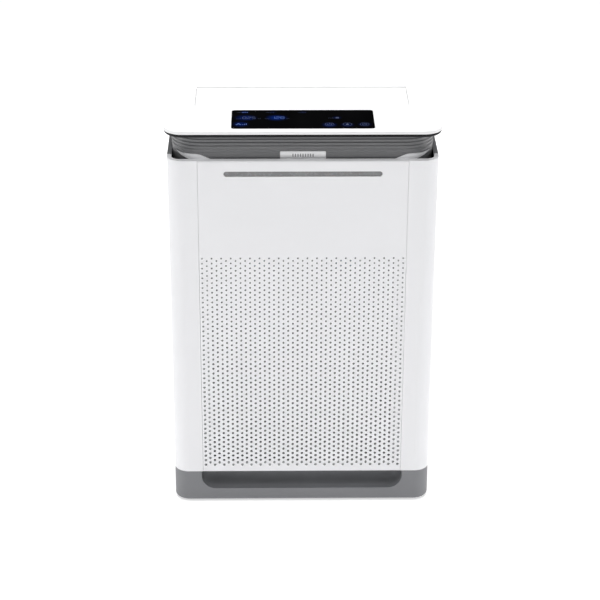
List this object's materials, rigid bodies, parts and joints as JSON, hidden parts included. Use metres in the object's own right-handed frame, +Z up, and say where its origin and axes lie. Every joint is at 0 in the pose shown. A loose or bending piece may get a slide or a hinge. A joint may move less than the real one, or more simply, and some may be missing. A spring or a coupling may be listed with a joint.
{
  "type": "air purifier",
  "caption": "Upright box air purifier: perforated pull-off front panel over stacked filters, centrifugal fan, ribbed collar and overhanging lid with touch display and hinged outlet flap.",
  "frame": {"origin": "on the floor, under the middle of the outer box", "axes": "+Z up; the front panel faces -Y; +X to the right as seen from the front"},
  "size_m": [0.3996, 0.216, 0.6095],
  "materials": {
    "white_shell": "fine spark-eroded moulded ABS",
    "white_lid": "satin moulded ABS",
    "gray_base": "satin moulded ABS, mid gray",
    "gray_collar": "satin moulded ABS, mid gray",
    "dark_tray": "satin moulded ABS, dark gray",
    "gray_strip": "satin moulded ABS, mid gray",
    "black_glass": "gloss black touch window",
    "diffuser": "gray translucent light bar",
    "badge_plate": "blank satin plate",
    "inner_plastic": "black moulded ABS",
    "fan_plastic": "glass-filled black nylon",
    "filter_frame": "white moulded frame",
    "filter_net": "fine dark net",
    "hepa_paper": "pleated filter paper",
    "carbon_pellets": "activated carbon pellets",
    "pull_tab": "woven pull tab",
    "circuit_board": "green solder mask",
    "motor_metal": "zinc-plated motor case",
    "steel": "turned steel",
    "magnet_metal": "nickel-plated magnet",
    "black_plastic": "black moulded plastic",
    "foot_rubber": "black rubber",
    "seal_foam": "closed-cell black foam"
  },
  "bodies": {
    "cabinet": {"base_tray": "gray_base", "rubber_feet": "foot_rubber", "power_inlet": "black_plastic", "power_board": "circuit_board", "right_side_shell": "white_shell", "left_side_shell": "white_shell", "left_rim_strip": "gray_strip", "right_rim_strip": "gray_strip", "rear_cover": "white_shell", "rear_cover_screws": "steel", "shell_screws": "steel", "air_quality_sensor": "black_plastic", "magnet_keepers": "magnet_metal", "upper_bulkhead": "inner_plastic", "status_light_bar": "diffuser", "light_bar_board": "circuit_board", "filter_chassis": "inner_plastic", "fan_inlet_ring": "fan_plastic", "volute_housing": "inner_plastic", "volute_back": "inner_plastic", "fan_motor": "motor_metal", "motor_bearings": "steel", "motor_screws": "steel", "outlet_duct": "inner_plastic", "outlet_guard": "inner_plastic", "outlet_collar": "gray_collar", "corner_shoulders": "white_shell", "collar_seal": "seal_foam", "name_badge": "badge_plate", "lid_tray": "dark_tray", "lid_shell": "white_lid", "display_glass": "black_glass", "display_board": "circuit_board", "flap_hinge_blocks": "inner_plastic", "flap_catch": "black_plastic"},
    "panel": {"front_panel": "white_shell", "panel_magnets": "magnet_metal"},
    "prefilter": {"prefilter_frame": "inner_plastic", "prefilter_mesh": "filter_net"},
    "hepa": {"hepa_frame": "filter_frame", "hepa_pleats": "hepa_paper", "hepa_pull_tabs": "pull_tab"},
    "carbon": {"carbon_frame": "filter_frame", "carbon_core": "carbon_pellets"},
    "rotor": {"fan_impeller": "fan_plastic", "impeller_nut": "steel", "motor_shaft": "steel"},
    "flap": {"outlet_flap": "white_lid", "flap_hinge_pins": "steel"}
  },
  "joints": [
    {"name": "panel_pull", "type": "slide", "parent": "cabinet", "child": "panel", "axis": [0, -1, 0], "range_m": [0, 0.28]},
    {"name": "prefilter_pull", "type": "slide", "parent": "cabinet", "child": "prefilter", "axis": [0, -1, 0], "range_m": [0, 0.22]},
    {"name": "hepa_pull", "type": "slide", "parent": "cabinet", "child": "hepa", "axis": [0, -1, 0], "range_m": [0, 0.16]},
    {"name": "carbon_pull", "type": "slide", "parent": "cabinet", "child": "carbon", "axis": [0, -1, 0], "range_m": [0, 0.096]},
    {"name": "flap_hinge", "type": "hinge", "parent": "cabinet", "child": "flap", "pos_m": [0, 0.0815, 0.604], "axis": [-1, 0, 0], "range_deg": [0, 70]},
    {"name": "fan_spin", "type": "hinge", "parent": "cabinet", "child": "rotor", "pos_m": [0, 0, 0.2385], "axis": [0, 1, 0], "continuous": true}
  ],
  "couplings": [
    {"joint": "prefilter_pull", "follows": "panel_pull", "ratio": 0.78},
    {"joint": "hepa_pull", "follows": "panel_pull", "ratio": 0.57},
    {"joint": "carbon_pull", "follows": "panel_pull", "ratio": 0.34}
  ]
}
